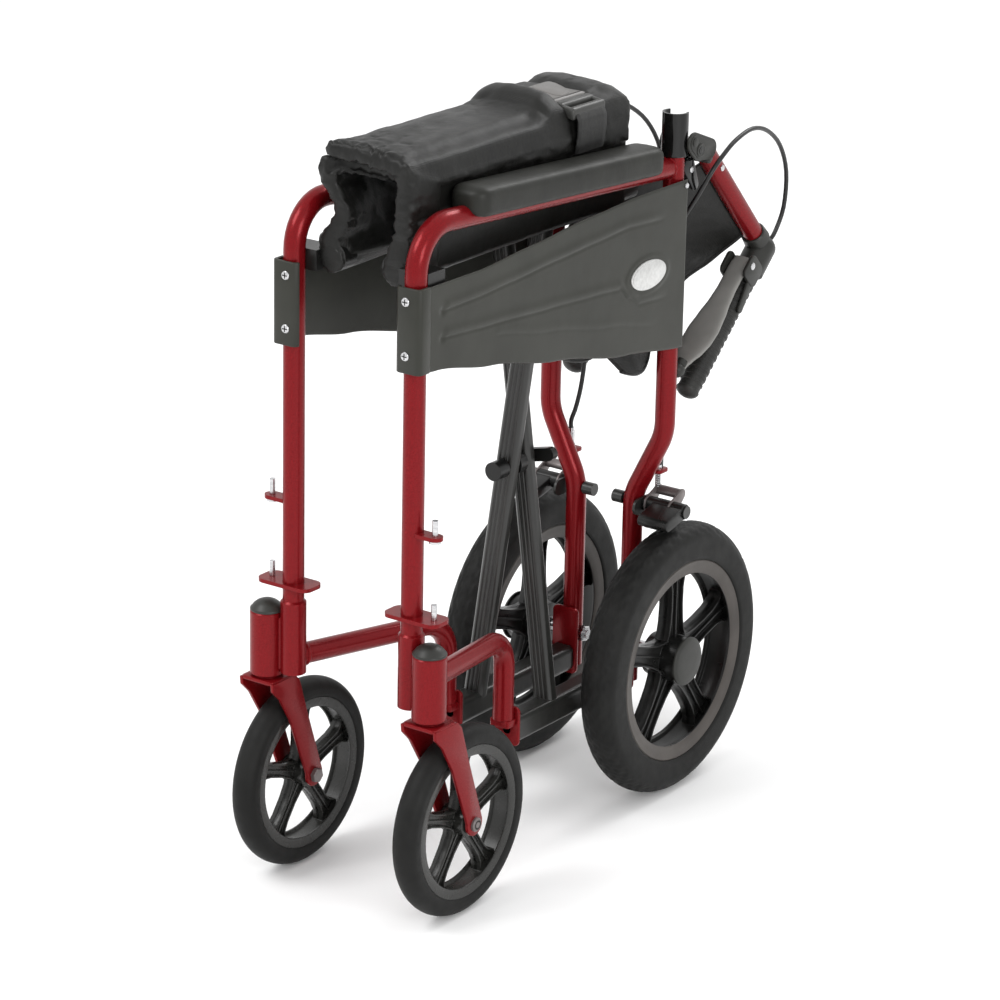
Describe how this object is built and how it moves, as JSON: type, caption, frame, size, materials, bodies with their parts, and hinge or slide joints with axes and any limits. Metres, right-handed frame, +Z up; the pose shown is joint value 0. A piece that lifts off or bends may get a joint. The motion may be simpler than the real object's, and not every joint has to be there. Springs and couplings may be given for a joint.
{
  "type": "folding transport wheelchair",
  "caption": "Folding attendant wheelchair, stored folded: scissor brace, half-fold back with brake handles, swivel castors, spoked wheels.",
  "frame": {"origin": "middle of the folded chair on the floor, under the middle of its bounding box", "axes": "the chair faces -Y, its left side is +X, +Z is up"},
  "size_m": [0.262, 0.7164, 0.795],
  "materials": {
    "painted_frame": "ruby metallic lacquer",
    "steel": "bright zinc-plated steel",
    "black_metal": "black satin extrusion",
    "black_plastic": "black moulded nylon",
    "grey_plastic": "olive-grey moulded plastic",
    "pad": "dark grey skinned foam",
    "light_plastic": "light grey moulded plastic",
    "tyre": "black solid tyre",
    "fabric": "black coated nylon",
    "cable": "black cable sheath"
  },
  "bodies": {
    "left_frame": {"left_side_frame": "painted_frame", "left_rear_post": "painted_frame", "left_lower_tube": "painted_frame", "left_castor_housing": "painted_frame", "left_castor_cap": "black_plastic", "left_hanger_brackets": "painted_frame", "left_hanger_pins": "steel", "left_armrest_pad": "pad", "left_side_panel": "grey_plastic", "left_hardware": "steel", "left_hinge_socket": "black_metal", "left_brake_mount": "black_metal", "left_brake_cable": "cable"},
    "brace_b": {"brace_b": "black_metal", "brace_bolt": "black_plastic"},
    "brace_a": {"brace_a": "black_metal"},
    "right_frame": {"right_side_frame": "painted_frame", "right_rear_post": "painted_frame", "right_lower_tube": "painted_frame", "right_castor_housing": "painted_frame", "right_castor_cap": "black_plastic", "right_hanger_brackets": "painted_frame", "right_hanger_pins": "steel", "right_armrest_pad": "pad", "right_side_panel": "grey_plastic", "right_hardware": "steel", "right_hinge_socket": "black_metal", "right_brake_mount": "black_metal", "right_brake_cable": "cable"},
    "left_castor_fork": {"left_castor_fork": "painted_frame", "left_castor_axle": "steel"},
    "left_castor_wheel": {"left_castor_rim": "black_plastic", "left_castor_tyre": "tyre"},
    "left_rear_wheel": {"left_rear_rim": "black_plastic", "left_rear_tyre": "tyre"},
    "left_back": {"left_back_tube": "painted_frame", "left_push_grip": "grey_plastic"},
    "left_brake_lever": {"left_brake_lever": "light_plastic"},
    "left_brake_arm": {"left_brake_arm": "light_plastic"},
    "left_seat_guide": {"left_seat_guide": "black_plastic"},
    "left_seat_wall": {"left_seat_wall": "fabric"},
    "left_seat_top": {"left_seat_top": "fabric", "lap_strap": "fabric", "buckle_socket": "black_plastic"},
    "left_back_sling": {"left_back_sling": "fabric"},
    "right_castor_fork": {"right_castor_fork": "painted_frame", "right_castor_axle": "steel"},
    "right_castor_wheel": {"right_castor_rim": "black_plastic", "right_castor_tyre": "tyre"},
    "right_rear_wheel": {"right_rear_rim": "black_plastic", "right_rear_tyre": "tyre"},
    "right_back": {"right_back_tube": "painted_frame", "right_push_grip": "grey_plastic"},
    "right_brake_lever": {"right_brake_lever": "light_plastic"},
    "right_brake_arm": {"right_brake_arm": "light_plastic"},
    "right_seat_guide": {"right_seat_guide": "black_plastic"},
    "right_seat_wall": {"right_seat_wall": "fabric"},
    "right_seat_top": {"right_seat_top": "fabric"},
    "right_back_sling": {"right_back_sling": "fabric"},
    "buckle_plug": {"buckle_plug": "black_plastic"}
  },
  "joints": [
    {"name": "fold", "type": "hinge", "parent": "left_frame", "child": "brace_b", "pos_m": [0.037, -0.06514, 0.125], "axis": [0, -1, 0], "range_deg": [0, 41.73]},
    {"name": "brace_cross", "type": "hinge", "parent": "brace_b", "child": "brace_a", "pos_m": [0, -0.01914, 0.396], "axis": [0, -1, 0], "range_deg": [-83.56, 0.1]},
    {"name": "right_pivot", "type": "hinge", "parent": "brace_a", "child": "right_frame", "pos_m": [-0.037, -0.06514, 0.125], "axis": [0, -1, 0], "range_deg": [-0.1, 41.83]},
    {"name": "left_guide_hinge", "type": "hinge", "parent": "brace_a", "child": "left_seat_guide", "pos_m": [0.037, -0.27114, 0.667], "axis": [0, -1, 0], "range_deg": [-0.1, 41.83]},
    {"name": "right_guide_hinge", "type": "hinge", "parent": "brace_b", "child": "right_seat_guide", "pos_m": [-0.037, -0.27114, 0.667], "axis": [0, -1, 0], "range_deg": [-41.83, 0.1]},
    {"name": "left_seat_hinge", "type": "hinge", "parent": "brace_a", "child": "left_seat_wall", "pos_m": [0.037, -0.27114, 0.667], "axis": [0, -1, 0], "range_deg": [-0.1, 131.93]},
    {"name": "right_seat_hinge", "type": "hinge", "parent": "brace_b", "child": "right_seat_wall", "pos_m": [-0.037, -0.27114, 0.667], "axis": [0, -1, 0], "range_deg": [-131.93, 0.1]},
    {"name": "left_seat_crease", "type": "hinge", "parent": "left_seat_wall", "child": "left_seat_top", "pos_m": [0.04, -0.27114, 0.771], "axis": [0, -1, 0], "range_deg": [-90.2, 0.1], "deforming": ["left_seat_wall", "left_seat_top", "lap_strap"]},
    {"name": "right_seat_crease", "type": "hinge", "parent": "right_seat_wall", "child": "right_seat_top", "pos_m": [-0.046, -0.27114, 0.766], "axis": [0, -1, 0], "range_deg": [-0.1, 90.2], "deforming": ["right_seat_wall", "right_seat_top"]},
    {"name": "left_castor_swivel", "type": "hinge", "parent": "left_frame", "child": "left_castor_fork", "pos_m": [0.102, -0.30244, 0.25], "axis": [0, 0, 1], "continuous": true},
    {"name": "left_castor_roll", "type": "hinge", "parent": "left_castor_fork", "child": "left_castor_wheel", "pos_m": [0.102, -0.24944, 0.1], "axis": [1, 0, 0], "continuous": true},
    {"name": "left_wheel_roll", "type": "hinge", "parent": "left_frame", "child": "left_rear_wheel", "pos_m": [0.09, 0.14936, 0.15], "axis": [1, 0, 0], "continuous": true},
    {"name": "left_back_hinge", "type": "hinge", "parent": "left_frame", "child": "left_back", "pos_m": [0.074, 0.16936, 0.708], "axis": [1, 0, 0], "range_deg": [0, 136.8], "deforming": ["left_brake_cable"]},
    {"name": "left_lever_hinge", "type": "hinge", "parent": "left_back", "child": "left_brake_lever", "pos_m": [0.074, 0.2863, 0.55717], "axis": [1, 0, 0], "range_deg": [0, 4], "stiffness_Nm_per_rad": 2, "springref_deg": -11.46},
    {"name": "left_brake_hinge", "type": "hinge", "parent": "left_frame", "child": "left_brake_arm", "pos_m": [0.08, 0.14936, 0.318], "axis": [1, 0, 0], "range_deg": [-0.1, 8.1]},
    {"name": "left_sling_hinge", "type": "hinge", "parent": "left_back", "child": "left_back_sling", "pos_m": [0.07, 0.24401, 0.64092], "axis": [0, 0.6845, -0.729], "range_deg": [-0.2, 72.59], "deforming": ["left_back_sling"]},
    {"name": "right_castor_swivel", "type": "hinge", "parent": "right_frame", "child": "right_castor_fork", "pos_m": [-0.102, -0.30244, 0.25], "axis": [0, 0, 1], "continuous": true},
    {"name": "right_castor_roll", "type": "hinge", "parent": "right_castor_fork", "child": "right_castor_wheel", "pos_m": [-0.102, -0.24944, 0.1], "axis": [1, 0, 0], "continuous": true},
    {"name": "right_wheel_roll", "type": "hinge", "parent": "right_frame", "child": "right_rear_wheel", "pos_m": [-0.09, 0.14936, 0.15], "axis": [1, 0, 0], "continuous": true},
    {"name": "right_back_hinge", "type": "hinge", "parent": "right_frame", "child": "right_back", "pos_m": [-0.074, 0.16936, 0.708], "axis": [1, 0, 0], "range_deg": [-0.2, 137], "deforming": ["right_brake_cable"]},
    {"name": "right_lever_hinge", "type": "hinge", "parent": "right_back", "child": "right_brake_lever", "pos_m": [-0.074, 0.2863, 0.55717], "axis": [1, 0, 0], "range_deg": [0, 4], "stiffness_Nm_per_rad": 2, "springref_deg": -11.46},
    {"name": "right_brake_hinge", "type": "hinge", "parent": "right_frame", "child": "right_brake_arm", "pos_m": [-0.08, 0.14936, 0.318], "axis": [1, 0, 0], "range_deg": [-0.1, 8.1]},
    {"name": "right_sling_hinge", "type": "hinge", "parent": "right_back", "child": "right_back_sling", "pos_m": [-0.07, 0.24401, 0.64092], "axis": [0, 0.6845, -0.729], "range_deg": [-72.59, 0.2], "deforming": ["right_back_sling"]},
    {"name": "buckle_release", "type": "slide", "parent": "left_seat_top", "child": "buckle_plug", "axis": [1, 0, 0], "range_m": [0, 0.03]}
  ],
  "couplings": [
    {"joint": "brace_cross", "follows": "fold", "ratio": -2},
    {"joint": "right_pivot", "follows": "fold", "ratio": 1},
    {"joint": "left_guide_hinge", "follows": "fold", "ratio": 1},
    {"joint": "right_guide_hinge", "follows": "fold", "ratio": -1},
    {"joint": "left_seat_hinge", "follows": "fold", "ratio": 3.1567},
    {"joint": "right_seat_hinge", "follows": "fold", "ratio": -3.1567},
    {"joint": "left_seat_crease", "follows": "fold", "ratio": -2.1567},
    {"joint": "right_seat_crease", "follows": "fold", "ratio": 2.1567},
    {"joint": "left_brake_hinge", "follows": "left_lever_hinge", "ratio": 2},
    {"joint": "left_sling_hinge", "follows": "fold", "ratio": 1.7348},
    {"joint": "right_brake_hinge", "follows": "right_lever_hinge", "ratio": 2},
    {"joint": "right_sling_hinge", "follows": "fold", "ratio": -1.7348},
    {"joint": "right_back_hinge", "follows": "left_back_hinge", "ratio": 1}
  ]
}
